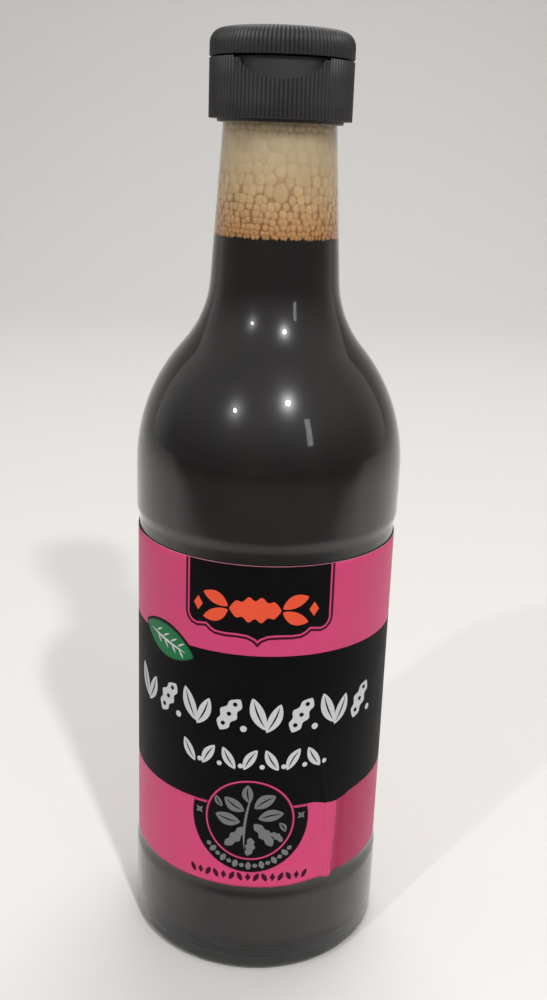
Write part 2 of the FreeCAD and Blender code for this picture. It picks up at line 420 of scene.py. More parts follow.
# %% [markdown]
# ## The froth
# Froth is hundreds of bubbles squeezed flat against the inside of the neck. Separate spheres
# would hide most of their faces inside each other, so one fine column is spun and then pressed
# in along the joints between bubbles. Each bubble owns the points that are nearest to its
# middle, as soap films do. Small ones sit at the bottom and large ones higher up. Glass
# stretches what is behind it sideways, so bubbles are made a little upright. How deep a point
# lies in a joint is stored on it for painted shade: the froth's colour darkens in the joints.
# Higher up a film of drained froth hides the bubbles a little, so both the joints and the domes
# fade there.

# %% Bubble middles
from mathutils.kdtree import KDTree

foam_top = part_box("foam")[1].z / MM
foam_low = fill_height - 1.6
upright = 1.25
big_bubble = (math.radians(-87), 160.2, 1.55)


def inner_neck(height):
    return neck_radius - neck_wall + (cap_bottom - height) * math.tan(neck_taper)


def bubble_size(height):
    """Half-width of the bubbles at a height: small on the sauce and under the cap."""
    if height > cap_bottom - 2.6:
        return 0.62
    return min(0.50 + 0.052 * (height - fill_height), 1.15)


def bubble_place(angle, height):
    """Where a point of the froth lies in a space in which bubbles are round."""
    radius = inner_neck(height)
    return Vector((radius * math.cos(angle), radius * math.sin(angle), height / upright))


draw = random.Random(7)
bubbles = [(bubble_place(*big_bubble[:2]), big_bubble[2])]
height = fill_height - 0.25
while height < foam_top + 1:
    size = bubble_size(height)
    count = int(math.tau * inner_neck(height) / (1.75 * size))
    offset = draw.random() * math.tau
    for step in range(count):
        angle = offset + math.tau * (step + draw.uniform(-0.28, 0.28)) / count
        low = 0.0 if height < fill_height else -0.4
        middle = bubble_place(angle, height + draw.uniform(low, 0.4) * size)
        if (middle - bubbles[0][0]).length > big_bubble[2] + 0.5 * size:
            bubbles.append((middle, size * draw.uniform(0.78, 1.10)))
    height += 1.5 * size * upright
tree = KDTree(len(bubbles))
for index, (middle, size) in enumerate(bubbles):
    tree.insert(middle, index)
tree.balance()
print(len(bubbles), "bubbles")

# %% Froth column
rows = 150
haze_low = fill_height + 7
haze_high = cap_bottom - 1.6
haze_rise = 7
golden_share = 0.618
joint_width, joint_depth = 0.07, 0.75
gap_start, gap_end = 0.36, 0.06
lift_off, dome_height = 0.06, 0.30
column = [(inner_neck(height), height) for height in
          (foam_low + (foam_top - foam_low) * row / rows for row in range(rows + 1))]
bm = spun([(0, foam_low)] + column + [(0, foam_top)], 384)
joint_shade = bm.verts.layers.float.new("joint_shade")
bubble_tone = bm.verts.layers.float.new("bubble")
for vert in bm.verts:
    radius = vert.co.xy.length / MM
    if radius < 1:
        continue
    height = vert.co.z / MM
    here = bubble_place(math.atan2(vert.co.y, vert.co.x), height)
    near = sorted(((here - bubbles[index][0]).length_squared - bubbles[index][1] ** 2, index)
                  for _, index, _ in tree.find_n(here, 6))
    (first, owner), (second, other) = near[:2]
    to_joint = (second - first) / (2 * (bubbles[owner][0] - bubbles[other][0]).length)
    inside = max(0.0, -first / bubbles[owner][1] ** 2)
    outside = clamp((gap_start - inside) / (gap_start - gap_end))
    groove = max(joint_depth * math.exp(-(to_joint / joint_width) ** 2), outside)
    haze = clamp((height - haze_low) / haze_rise)
    haze *= clamp((haze_high - height) / 1.5)
    groove *= 1 - 0.72 * haze
    dome = dome_height * math.sqrt(inside) * (1 - 0.6 * groove) * (1 - 0.5 * haze)
    pressed = radius + lift_off + dome
    if height < fill_height:
        pressed -= 0.75 * clamp((0.30 - inside) / 0.25)
    vert.co.xy *= pressed / radius
    # The groove is stored for the froth's colour, as painted shade in the joints.
    vert[joint_shade] = groove
    vert[bubble_tone] = 0.5 + ((owner * golden_share) % 1 - 0.5) * (1 - 0.6 * haze)
froth = new_piece("froth_bubbles", bm, 80)
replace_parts(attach(froth, "bottle"), "foam")
print("froth has", len(froth.data.polygons), "faces")

# %% [markdown]
# ## The paper label
# A label is printed flat and then rolled round the bottle, so it is modelled in the same order:
# a flat grid, measured along the paper and up the bottle, that `wrap` rolls onto the glass. The
# print uses the same `wrap`, a hair higher. The paper ends in an overlap at the back. At the
# front right it was glued with a crease, which is two ridges and a fold, and it pulls the
# edges of the colour bands with it. Beyond the fold the pink is painted darker, as painted
# shade where the paper turns away from the light, and the painted shade fades out further round.

# %% Rolling paper onto the bottle
paper_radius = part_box("label")[1].x / MM
label_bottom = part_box("label")[0].z / MM
label_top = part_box("label")[1].z / MM
band_low = 40.2
band_high = 73.9


def along(value, stops):
    """Value read off a line through (place, value) stops, flat beyond its ends."""
    if value <= stops[0][0]:
        return stops[0][1]
    for (left, low), (right, high) in zip(stops, stops[1:]):
        if value <= right:
            return low + (high - low) * (value - left) / (right - left)
    return stops[-1][1]


def ridge(run, height, path, tall, wide):
    """Height of a ridge whose middle follows path, given from its lowest point upwards."""
    low, high = path[0][0], path[-1][0]
    fade = clamp((high + 1.5 - height) / 5)
    fade *= clamp((height - low + 3) / 2)
    return tall * fade * math.exp(-((run - along(height, path)) / wide) ** 2)


low_ridge = [(22.4, 14.4), (34.9, 13.0)]
long_ridge = [(21.0, 15.3), (31.3, 15.7), (39.8, 14.8), (55.7, 12.1)]
fold_path = [(22.4, 17.0), (28.0, 17.3), (38.9, 17.8)]


def crease(run, height):
    """How far the paper stands off the glass, in millimetres."""
    rise = ridge(run, height, low_ridge, 0.15, 0.40)
    rise += ridge(run, height, long_ridge, 0.20, 0.50)
    rise += ridge(run, height, fold_path, 0.22, 0.42)
    rise -= 0.16 * math.exp(-((run - 18.6) / 0.9) ** 2) * clamp((42 - height) / 6)
    return rise


def wrap(run, height, lift=0.0):
    """Point on the bottle from the length along the paper and the height, in metres."""
    turn = run / paper_radius
    radius = paper_radius + crease(run, height) + lift
    return Vector((radius * math.sin(turn), -radius * math.cos(turn), height)) * MM


# %% Label sheet
half_turn = math.pi * paper_radius
paper_lap = 3.2
fine_start, fine_end, fine_step = 9, 22, 0.25
runs = [-half_turn + step * (half_turn + fine_start) / 48 for step in range(48)]
runs += [fine_start + fine_step * step for step in range(52)]
runs += [fine_end + step * (half_turn + paper_lap - fine_end) / 36 for step in range(37)]
lower_dip = [(12, 0), (14.7, -0.8), (16.5, -1.2), (17.7, -1.2), (19.3, -1.0), (21.4, -0.3), (25, 0)]
lower_edge = [(6, -0.1), (14.5, 0.5), (16.0, -0.1), (16.5, -0.4), (17.2, 0.6), (29, 0.6), (33, 0.3),
              (45, 0)]
painted_shade_end = 46
rows_low, rows_middle, rows_high = 36, 30, 14

bm = bmesh.new()
bmesh.ops.create_grid(bm, x_segments=len(runs) - 1, y_segments=rows_low + rows_middle + rows_high,
                      size=0.5)
run_of = bm.verts.layers.float.new("run")
# Stored on the paper for the painted shade beyond the fold: 0 where it is darkest, 1 where it has
# faded out.
painted_shade_fade = bm.verts.layers.float.new("painted_shade_fade")
for vert in bm.verts:
    run = runs[round((vert.co.x + 0.5) * (len(runs) - 1))]
    row = round((vert.co.y + 0.5) * (rows_low + rows_middle + rows_high))
    lowest = label_bottom + along(run, lower_edge)
    middle = band_low + along(run, lower_dip)
    if row <= rows_low:
        height = lowest + (middle - lowest) * row / rows_low
    elif row <= rows_low + rows_middle:
        height = middle + (band_high - middle) * (row - rows_low) / rows_middle
    else:
        share = (row - rows_low - rows_middle) / rows_high
        height = band_high + (label_top - band_high) * share
    vert[run_of] = run
    vert[painted_shade_fade] = along(run, [(20, 0), (painted_shade_end, 1)])
    flap = 0.14 * clamp((run - half_turn + 1.5) / 1.5)
    vert.co = wrap(run, height, flap)
for face in bm.faces:
    height = face.calc_center_median().z / MM
    run = sum(v[run_of] for v in face.verts) / 4
    band_edge = band_low + along(run, lower_dip)
    face.material_index = 1 if band_edge < height < band_high else 0
    # Pink faces beyond the fold take the ink with painted shade.
    if height < band_edge and along(height, fold_path) < run < painted_shade_end:
        face.material_index = 2
bmesh.ops.recalc_face_normals(bm, faces=bm.faces)
if sum(f.normal.dot(f.calc_center_median() * Vector((1, 1, 0))) for f in bm.faces) < 0:
    bmesh.ops.reverse_faces(bm, faces=bm.faces)
paper = new_piece("label_sheet", bm, 60)
thick = paper.modifiers.new("paper_thickness", "SOLIDIFY")
thick.thickness = 0.12 * MM
thick.offset = -1
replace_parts(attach(paper, "bottle"), "label")
print("label", round(2 * half_turn + paper_lap, 1), "mm long")

# %% [markdown]
# ## The print
# Each field of colour is a flat outline that is cut into narrow strips, so that it can bend, and
# then rolled on with `wrap`. A large field lies lowest and small marks lie on it. Almost every
# mark comes from one outline, `blade`: a leaf when it is smooth, a bean pod when it has bumps.
# Nothing is lettered: rows of leaves, pods and lozenges stand where a maker puts words.

# %% Print helpers
print_step = 0.02
strip = 1.3
shortest_edge = 0.03


def printed(name, outlines, layer, paint):
    """Lays flat outlines, as lists of (run, height), on the paper as one piece of one ink."""
    bm = bmesh.new()
    for outline in outlines:
        bm.faces.new([bm.verts.new((run, height, 0)) for run, height in outline])
    bm.normal_update()
    bmesh.ops.triangulate(bm, faces=bm.faces, ngon_method="EAR_CLIP")
    left = min(v.co.x for v in bm.verts)
    right = max(v.co.x for v in bm.verts)
    cut = left + strip
    while cut < right:
        bmesh.ops.bisect_plane(bm, geom=bm.verts[:] + bm.edges[:] + bm.faces[:],
                               plane_co=(cut, 0, 0), plane_no=(1, 0, 0))
        cut += strip
    bmesh.ops.dissolve_degenerate(bm, edges=bm.edges, dist=shortest_edge)
    for vert in bm.verts:
        vert.co = wrap(vert.co.x, vert.co.y, print_step * layer)
    bm.normal_update()
    for face in bm.faces:
        if face.normal.dot(face.calc_center_median() * Vector((1, 1, 0))) < 0:
            face.normal_flip()
    piece = new_piece(name, bm)
    piece.data.materials.append(paint)
    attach(piece, "bottle")
    print(name, "has", len(outlines), "marks")


def blade(centre, length, width, turn=0.0, bend=0.0, bumps=0, count=14):
    """Outline of a leaf, or of a pod with bumps, about centre. Turn is in degrees."""
    sides = []
    for side in (1, -1):
        for step in range(count):
            share = step / count if side > 0 else 1 - step / count
            swell = math.sin(math.pi * share) ** (0.75 if bumps == 0 else 0.5)
            if bumps:
                swell *= 1 - 0.20 * math.cos(math.tau * bumps * share)
            arch = bend * (1 - (2 * share - 1) ** 2)
            sides.append(((share - 0.5) * length, arch + side * swell * width / 2))
    slope = math.radians(turn)
    return [(centre[0] + x * math.cos(slope) - y * math.sin(slope),
             centre[1] + x * math.sin(slope) + y * math.cos(slope)) for x, y in sides]


def disc(centre, radius, count=40):
    return arc(centre, radius, 0, 360 - 360 / count, count - 1)


def lozenge(centre, width, height):
    x, y = centre
    return [(x - width / 2, y), (x, y - height / 2), (x + width / 2, y), (x, y + height / 2)]


def offset_outline(outline, distance):
    """Outline moved outwards by distance, for the lines that run round a field."""
    moved = []
    total = len(outline)
    for index, (x, y) in enumerate(outline):
        before = Vector(outline[index - 1])
        after = Vector(outline[(index + 1) % total])
        way_in = (Vector((x, y)) - before).normalized()
        way_out = (after - Vector((x, y))).normalized()
        normal = Vector((way_in.y, -way_in.x)) + Vector((way_out.y, -way_out.x))
        scale = distance / max(0.35, normal.length_squared / 2)
        moved.append((x + normal.x * scale, y + normal.y * scale))
    return moved


# %% [markdown]
# ## Paints and inks
# Print on coated paper is never quite even: the ink is a little mottled and the coating is not
# equally glossy all over. `ink_paint` gives that to any colour with two sizes of noise, so all
# fields share one paper. The noise reads Object coordinates, so it stays with the bottle.

# %% Ink and paper finish
def ink_paint(name, colour, mottle=0.10, gloss=0.42, level=0.20):
    """Printed paper of one ink colour, with mottled ink and a fine paper grain."""
    thin = [c * (1 - mottle) for c in colour] + [1]
    full = [min(1, c * (1 + mottle) + 0.002) for c in colour] + [1]
    paint, shader = grained_paint(name, (thin, full), (gloss - 0.08, gloss + 0.10), (260, 6),
                                  (2600, 3), 0.5)
    shader.inputs["Specular IOR Level"].default_value = level
    return paint


pink = (0.64, 0.060, 0.180)
pink_ink = ink_paint("ink_pink", pink, 0.07)
black_ink = ink_paint("ink_black", (0.0035, 0.0030, 0.0035), 0.25, 0.50, 0.06)
maroon_ink = ink_paint("ink_maroon", (0.050, 0.004, 0.014), 0.10, 0.45, 0.10)
orange_ink = ink_paint("ink_orange", (0.85, 0.095, 0.040))
green_ink = ink_paint("ink_green", (0.004, 0.165, 0.050))
deep_green_ink = ink_paint("ink_deep_green", (0.004, 0.035, 0.014))
white_ink = ink_paint("ink_white", (0.62, 0.61, 0.62), 0.04)
grey_ink = ink_paint("ink_grey", (0.17, 0.17, 0.18))
paper_edge = ink_paint("paper_edge", (0.55, 0.52, 0.50))
# Painted shade: the pink beyond the fold is painted darker where the paper turns away from the
# light, and the stored fade brings it back to plain pink further round.
pink_painted_shade_ink = ink_paint("ink_pink_painted_shade", (0.43, 0.024, 0.095), 0.12)
nodes = pink_painted_shade_ink.node_tree.nodes
painted_shade_node = add_node(nodes, "Attribute", attribute_name="painted_shade_fade")
nodes["Mix"].inputs["B"].default_value = pink + (1,)
pink_painted_shade_ink.node_tree.links.new(painted_shade_node.outputs["Fac"], nodes["Mix"].inputs["Factor"])
for paint in (pink_ink, black_ink, pink_painted_shade_ink, paper_edge):
    paper.data.materials.append(paint)
thick.material_offset_rim = 3
print("label inks ready")


# %% [markdown]
# ### Plaque
# The black plaque hangs from the top edge. Its pink inner line is made by stacking three
# outlines, each a little smaller than the one below: maroon, pink and black. Both halves
# come from one list, mirrored about the middle of the print.

# %% Plaque
print_middle = -1.0
print_top = label_top - 0.05
plaque_half = [(0, 75.8), (0.9, 76.8), (2.2, 77.4), (4.2, 77.55), (6.8, 77.5), (8.6, 77.65),
               (9.7, 78.15), (10.6, 78.9), (11.4, 78.8), (12.6, 78.6), (13.9, 79.05),
               (14.8, 80.0), (15.2, 81.2), (15.2, print_top + 5)]


def plaque_outline(inset):
    full = [(print_middle + x, y) for x, y in plaque_half]
    full += [(print_middle - x, y) for x, y in plaque_half[:0:-1]]
    return [(x, min(y, print_top)) for x, y in offset_outline(full, -inset)]


printed("print_plaque_edge", [plaque_outline(0)], 1, maroon_ink)
printed("print_plaque_line", [plaque_outline(0.50)], 2, pink_ink)
printed("print_plaque_field", [plaque_outline(0.92)], 3, black_ink)

# %% Orange sprig on the plaque
sprig_middle = -1.6
sprig_height = 83.6
sprig = [blade((sprig_middle, sprig_height), 10.2, 4.6, 0, 0, 4, 24)]
for side in (-1, 1):
    sprig.append(blade((sprig_middle + side * 7.9, sprig_height + 1.5), 5.6, 2.6, side * 24, 0.3))
    sprig.append(blade((sprig_middle + side * 7.9, sprig_height - 1.5), 5.6, 2.6, -side * 24, -0.3))
    sprig.append(lozenge((sprig_middle + side * 11.6, sprig_height), 2.0, 3.0))
printed("print_orange_sprig", sprig, 4, orange_ink)

# %% [markdown]
# ### Leaf badge
# The green badge overlaps the edge of the pink field, so it is printed higher than both bands.
# A dark leaf a little larger lies under the green one and gives its rim.

# %% Leaf badge
badge_middle = (-21.4, 73.1)
badge_turn = -13
printed("print_leaf_rim", [blade(badge_middle, 16.2, 8.0, badge_turn, 0, 0, 20)], 1, black_ink)
printed("print_leaf_shade", [blade(badge_middle, 15.2, 7.1, badge_turn, 0, 0, 20)], 2,
        deep_green_ink)
printed("print_leaf", [blade(badge_middle, 14.6, 6.4, badge_turn, 0, 0, 20)], 3, green_ink)
veins = [blade(badge_middle, 11.0, 0.55, badge_turn)]
for place in (-3.2, -1.0, 1.2, 3.2):
    for side in (-1, 1):
        vein_x = badge_middle[0] + place + 0.9
        vein_y = badge_middle[1] - place * 0.23 + side * 0.95
        veins.append(blade((vein_x, vein_y), 2.1, 0.40, badge_turn + side * 42))
printed("print_leaf_veins", veins, 4, white_ink)

# %% [markdown]
# ### White friezes
# Two rows of pods and leaves take the place of the words. A row is a loop over its places, and
# every other place changes its marks, so the row looks drawn rather than stamped.

# %% White friezes
tall_row, tall_ribs = [], []
for place in range(8):
    x = -27.9 + 7.3 * place
    if place % 2:
        tall_row.append(blade((x, 60.7), 8.3, 3.3, 60, 0.35, 3, 20))
        tall_row.append(disc((x + 2.8, 57.9), 0.70, 12))
        for bean in (-1, 0, 1):
            tall_ribs.append(disc((x - 0.2 + 1.22 * bean, 60.9 + 2.2 * bean), 0.48, 10))
    else:
        tall_row.append(blade((x - 1.4, 61.3), 7.6, 2.9, 112, 0.3))
        tall_row.append(blade((x + 1.5, 60.4), 6.9, 2.7, 66, -0.3))
        tall_ribs.append(blade((x - 1.4, 61.3), 6.2, 0.36, 112, 0.3))
        tall_ribs.append(blade((x + 1.5, 60.4), 5.6, 0.36, 66, -0.3))
printed("print_tall_frieze", tall_row, 1, white_ink)
printed("print_tall_frieze_ribs", tall_ribs, 2, black_ink)
short_row, short_ribs = [], []
for place in range(7):
    x = print_middle - 13.2 + 4.4 * place
    turn = 60 if place % 2 else 120
    short_row.append(blade((x - 0.6, 51.0), 5.4, 2.2, turn, 0.2))
    short_ribs.append(blade((x - 0.6, 51.0), 4.2, 0.30, turn, 0.2))
    short_row.append(disc((x + 1.8, 49.5), 0.55, 10))
printed("print_short_frieze", short_row, 1, white_ink)
printed("print_short_frieze_ribs", short_ribs, 2, black_ink)

# %% [markdown]
# ### Medallion
# A ringed disc on a black collar crosses the edge between the bands. The collar fills only the
# pink side. Inside the ring stands a sprig of the bean plant, drawn with the same `blade`.

# %% Medallion
seal = (-1.4, 37.0)
seal_radius = 9.3
collar_radius = 12.1
collar_top = band_low - 0.35
collar_start = math.degrees(math.asin((collar_top - seal[1]) / collar_radius))
collar = arc(seal, collar_radius, 180 - collar_start, 360 + collar_start, 60)
printed("print_collar_edge", [offset_outline(collar, 0.22)], 1, maroon_ink)
printed("print_collar", [collar], 2, black_ink)
printed("print_seal_ring", [disc(seal, seal_radius, 72)], 3, pink_ink)
printed("print_seal_shade", [disc(seal, seal_radius - 0.36, 72)], 4, maroon_ink)
printed("print_seal_field", [disc(seal, seal_radius - 0.62, 72)], 5, black_ink)
shelf = []
for side in (-1, 1):
    near, far = sorted((seal[0] + side * (seal_radius - 0.2),
                        seal[0] + side * (collar_radius - 0.25)))
    shelf.append([(near, collar_top - 0.15), (far, collar_top - 0.15), (far, collar_top + 0.2),
                  (near, collar_top + 0.2)])
printed("print_collar_top", shelf, 3, pink_ink)

# %% Grey marks of the medallion
marks = []
bead_circle = (seal_radius + collar_radius) / 2 + 0.05
for step in range(15):
    slope = math.radians(218 + 104 * step / 14)
    middle = (seal[0] + bead_circle * math.cos(slope), seal[1] + bead_circle * math.sin(slope))
    size = (2.0, 1.2) if step % 2 else (1.1, 1.1)
    marks.append(blade(middle, size[0], size[1], math.degrees(slope), 0, 0, 6))
for side in (-1, 1):
    centre = (seal[0] + side * bead_circle, seal[1] + 0.8)
    for turn in (0, 90):
        marks.append(blade(centre, 2.0, 0.7, turn + 45, 0, 0, 6))
printed("print_collar_marks", marks, 3, grey_ink)

plant = [blade((seal[0] - 0.2, seal[1] - 0.4), 13.6, 0.55, 84, 0.7)]
leaf_places = [(-3.2, 3.6, 5.0, 2.7, 146), (3.1, 4.4, 5.2, 2.8, 34), (-0.3, 6.2, 4.2, 2.3, 96),
               (-4.5, 0.2, 5.4, 2.9, 166), (4.4, 1.1, 5.4, 2.7, 12), (-6.4, 3.9, 2.8, 1.4, 120),
               (6.8, -1.6, 2.6, 1.3, -60)]
for x, y, length, width, turn in leaf_places:
    plant.append(blade((seal[0] + x, seal[1] + y), length, width, turn, 0.25))
pod_places = [(-3.1, -3.9, 6.2, 2.1, 232), (2.9, -3.3, 6.6, 2.2, 306), (0.0, -6.1, 4.4, 1.8, 262),
              (5.6, -3.9, 3.4, 1.4, 320)]
for x, y, length, width, turn in pod_places:
    plant.append(blade((seal[0] + x, seal[1] + y), length, width, turn, 0.3, 3, 20))
printed("print_seal_plant", plant, 6, grey_ink)
ribs = [blade((seal[0] + x, seal[1] + y), length * 0.8, 0.32, turn, 0.25)
        for x, y, length, width, turn in leaf_places]
printed("print_seal_leaf_ribs", ribs, 7, black_ink)

# %% Small marks along the lower edge
dashes = []
for place in range(15):
    x = seal[0] - 12.0 + 24.0 * place / 14
    if place % 3 == 1:
        dashes.append(lozenge((x, 23.5), 1.2, 2.0))
    else:
        dashes.append(blade((x, 23.5), 2.3, 1.05, 65 if place % 3 else 115, 0, 0, 8))
printed("print_small_marks", dashes, 1, maroon_ink)

# %% [markdown]
# ## Glass, sauce and froth finishes
# Clear glass is a Principled shader with full transmission. Mould-blown glass is never quite
# flat, so a slow noise bends the reflections, and a thin rough coat is the film of handling that
# spreads a soft glow round each bright one. The sauce is near-black brown with a weak gloss of
# its own, since it touches the glass. The froth takes its colour from the stored joint depth:
# pale where a bubble is pressed on the glass and a darker amber between bubbles, which is
# painted shade in the joints, less so higher up.

# %% Glass finish
glass_paint, nodes, join, shader, place = new_paint("clear_glass")
shader.inputs["Base Color"].default_value = (0.99, 0.995, 0.99, 1)
shader.inputs["Roughness"].default_value = 0.03
shader.inputs["IOR"].default_value = 1.5
shader.inputs["Transmission Weight"].default_value = 1.0
shader.inputs["Coat Weight"].default_value = 0.42
shader.inputs["Coat Roughness"].default_value = 0.25
flow = add_node(nodes, "TexNoise", {"Scale": 55, "Detail": 2})
bump = add_node(nodes, "Bump", {"Distance": 0.3 * MM, "Strength": 0.12})
join(place, flow.inputs["Vector"])
join(flow.outputs["Fac"], bump.inputs["Height"])
join(bump.outputs["Normal"], shader.inputs["Normal"])
bottle.data.materials.append(glass_paint)

# %% Sauce finish
sauce_paint, nodes, join, shader, place = new_paint("dark_sauce")
shader.inputs["Roughness"].default_value = 0.3
shader.inputs["Specular IOR Level"].default_value = 0.1
streak = add_node(nodes, "Mapping", {"Scale": (1, 1, 0.45)})
cloud = add_node(nodes, "TexNoise", {"Scale": 90, "Detail": 2})
tone = add_node(nodes, "ValToRGB")
thick_sauce, thin_sauce = tone.color_ramp.elements
thick_sauce.position = 0.35
thick_sauce.color = (0.0050, 0.0032, 0.0028, 1)
thin_sauce.position = 0.75
thin_sauce.color = (0.0200, 0.0110, 0.0080, 1)
join(place, streak.inputs["Vector"])
join(streak.outputs["Vector"], cloud.inputs["Vector"])
join(cloud.outputs["Fac"], tone.inputs["Fac"])
join(tone.outputs["Color"], shader.inputs["Base Color"])
sauce.data.materials.append(sauce_paint)

# %% Froth finish
froth_paint, nodes, join, shader, place = new_paint("froth")
shader.inputs["Roughness"].default_value = 0.22
depth = add_node(nodes, "Attribute", attribute_name="joint_shade")
each = add_node(nodes, "Attribute", attribute_name="bubble")
split = add_node(nodes, "SeparateXYZ")
rise = add_node(nodes, "MapRange", {"From Min": fill_height * MM,
                                    "From Max": (fill_height + 15) * MM})
face_tone = add_node(nodes, "ValToRGB")
face_tone.color_ramp.elements[0].color = (0.97, 0.50, 0.18, 1)
face_tone.color_ramp.elements[1].color = (0.98, 0.78, 0.50, 1)
warm = face_tone.color_ramp.elements.new(0.40)
warm.color = (0.98, 0.71, 0.36, 1)
# Painted shade: the joint colour is a darker amber that the stored joint depth mixes in between the
# bubbles.
joint_painted_shade_tone = add_node(nodes, "ValToRGB")
joint_painted_shade_tone.color_ramp.elements[0].color = (0.50, 0.17, 0.035, 1)
joint_painted_shade_tone.color_ramp.elements[1].color = (0.84, 0.60, 0.32, 1)
mixed = add_node(nodes, "Mix", data_type="RGBA")
lighter = add_node(nodes, "MapRange", {"To Min": 0.90, "To Max": 1.02})
scaled = add_node(nodes, "VectorMath", operation="SCALE")
join(place, split.inputs["Vector"])
join(split.outputs["Z"], rise.inputs["Value"])
join(rise.outputs["Result"], face_tone.inputs["Fac"])
join(rise.outputs["Result"], joint_painted_shade_tone.inputs["Fac"])
join(depth.outputs["Fac"], mixed.inputs["Factor"])
join(face_tone.outputs["Color"], mixed.inputs["A"])
join(joint_painted_shade_tone.outputs["Color"], mixed.inputs["B"])
join(each.outputs["Fac"], lighter.inputs["Value"])
join(mixed.outputs["Result"], scaled.inputs[0])
join(lighter.outputs["Result"], scaled.inputs["Scale"])
join(scaled.outputs["Vector"], shader.inputs["Base Color"])
froth.data.materials.append(froth_paint)
print("glass, sauce and froth finished")

# %% [markdown]
# ## The cap
# The cap is two mouldings in black plastic: a base that snaps over the neck, and a lid on a
# hinge at the back. Both are spun with four steps to a rib, and the outer wall is then pressed
# in between the ribs. A rib runs over the rounded edge of the lid and dies out on its top, so
# it is pressed in square to the surface. The thumb notch is cut last, so that it has a crisp
# edge across the ribs.

# %% Sizes of the cap
cap_radius = -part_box("cap_lid")[0].y / MM
lid_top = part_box("cap_lid")[1].z / MM
rib_count = 104
rib_depth = 0.3
cap_base_top = cap_bottom + 10.65
lid_bottom = cap_base_top + 0.3
deck_bottom = cap_base_top - 1.6
skirt_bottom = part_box("cap_base")[0].z / MM
skirt_radius = neck_radius + 1.2
cap_bore = neck_radius + 0.3
spout_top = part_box("cap_base")[1].z / MM
spout_radius = 4.4
spout_bore = 3.2
lid_corner = 2.7
lid_dome = 0.6
lid_inside = cap_radius - 1.7
hollow_top = lid_top - 1.4
hinge = frame["joints"][0]["pos_m"]
knuckle_radius = 1.1
knuckle_room = 1.35
edge_round = 0.12
notch_depth = 1.3
notch_height = 3.9
print("cap", round(2 * cap_radius, 1), "mm across, hinge at", hinge)


# %% Ribs
def press_ribs(bm, corner_height, corner_edge):
    """Presses the outer wall in between the ribs, and fades them over a round corner."""
    for vert in bm.verts:
        radius = vert.co.xy.length
        if radius < corner_edge * MM or radius < (cap_radius - 4) * MM:
            continue
        tilt = max(0.0, math.atan2(vert.co.z - corner_height * MM, radius - corner_edge * MM))
        if tilt == 0 and radius < (cap_radius - 0.3) * MM:
            continue
        valley = 1 - abs(math.cos(rib_count / 2 * math.atan2(vert.co.y, vert.co.x)))
        fade = clamp((math.radians(86) - tilt) / math.radians(34))
        depth = rib_depth * MM * valley * fade
        vert.co.xy *= (radius - depth * math.cos(tilt)) / radius
        vert.co.z -= depth * math.sin(tilt)


def cut_away(piece, cutters):
    """Cuts closed shapes out of a piece, applies the cuts and removes the cutters."""
    for cutter in cutters:
        cut = piece.modifiers.new("cut", "BOOLEAN")
        cut.operation = "DIFFERENCE"
        cut.solver = "EXACT"
        cut.object = cutter
    graph = bpy.context.evaluated_depsgraph_get()
    mesh = bpy.data.meshes.new_from_object(piece.evaluated_get(graph))
    piece.modifiers.clear()
    piece.data = mesh
    for cutter in cutters:
        bpy.data.objects.remove(cutter)
    mesh.set_sharp_from_angle(angle=math.radians(50))


def hollow_cutter(half_width, depth_at, name):
    """Closed block whose inner face lies on the cylinder at the bottom of the thumb notch."""
    floor_radius = cap_radius - notch_depth
    bm = bmesh.new()
    bmesh.ops.create_grid(bm, x_segments=48, y_segments=4, size=1)
    for vert in bm.verts:
        x = half_width * math.sin(vert.co.x * math.pi / 2)
        z = cap_base_top + 0.1 - (depth_at(x / half_width) + 0.1) * (1 - vert.co.y) / 2
        vert.co = Vector((x, -math.sqrt(floor_radius ** 2 - x ** 2), z)) * MM
    bmesh.ops.remove_doubles(bm, verts=bm.verts, dist=0.002 * MM)
    front = bmesh.ops.extrude_face_region(bm, geom=bm.faces[:] + bm.edges[:] + bm.verts[:],
                                          use_keep_orig=True)
    for element in front["geom"]:
        if isinstance(element, bmesh.types.BMVert):
            element.co.y = -(cap_radius + 1.5) * MM
    bmesh.ops.recalc_face_normals(bm, faces=bm.faces)
    return new_piece(name, bm)


def cross_rod(bm, radius, low_x, high_x, rounding=0.0):
    """Adds a rod along the hinge line, with its end edges rounded."""
    made = bmesh.ops.create_cone(bm, cap_ends=True, segments=40, radius1=radius * MM,
                                 radius2=radius * MM, depth=(high_x - low_x) * MM)
    bmesh.ops.rotate(bm, verts=made["verts"], cent=(0, 0, 0),
                     matrix=Matrix.Rotation(math.pi / 2, 3, "Y"))
    bmesh.ops.translate(bm, verts=made["verts"],
                        vec=((low_x + high_x) / 2 * MM, hinge[1], hinge[2]))
    if rounding:
        ends = {e for v in made["verts"] for e in v.link_edges
                if any(len(f.verts) > 4 for f in e.link_faces)}
        bmesh.ops.bevel(bm, geom=list(ends), offset=rounding * MM, offset_type="OFFSET",
                        affect="EDGES", segments=2, profile=0.5, material=-1)


def rod_piece(name, rods, radius, rounding=0.0):
    bm = bmesh.new()
    for low_x, high_x in rods:
        cross_rod(bm, radius, low_x, high_x, rounding)
    return new_piece(name, bm)


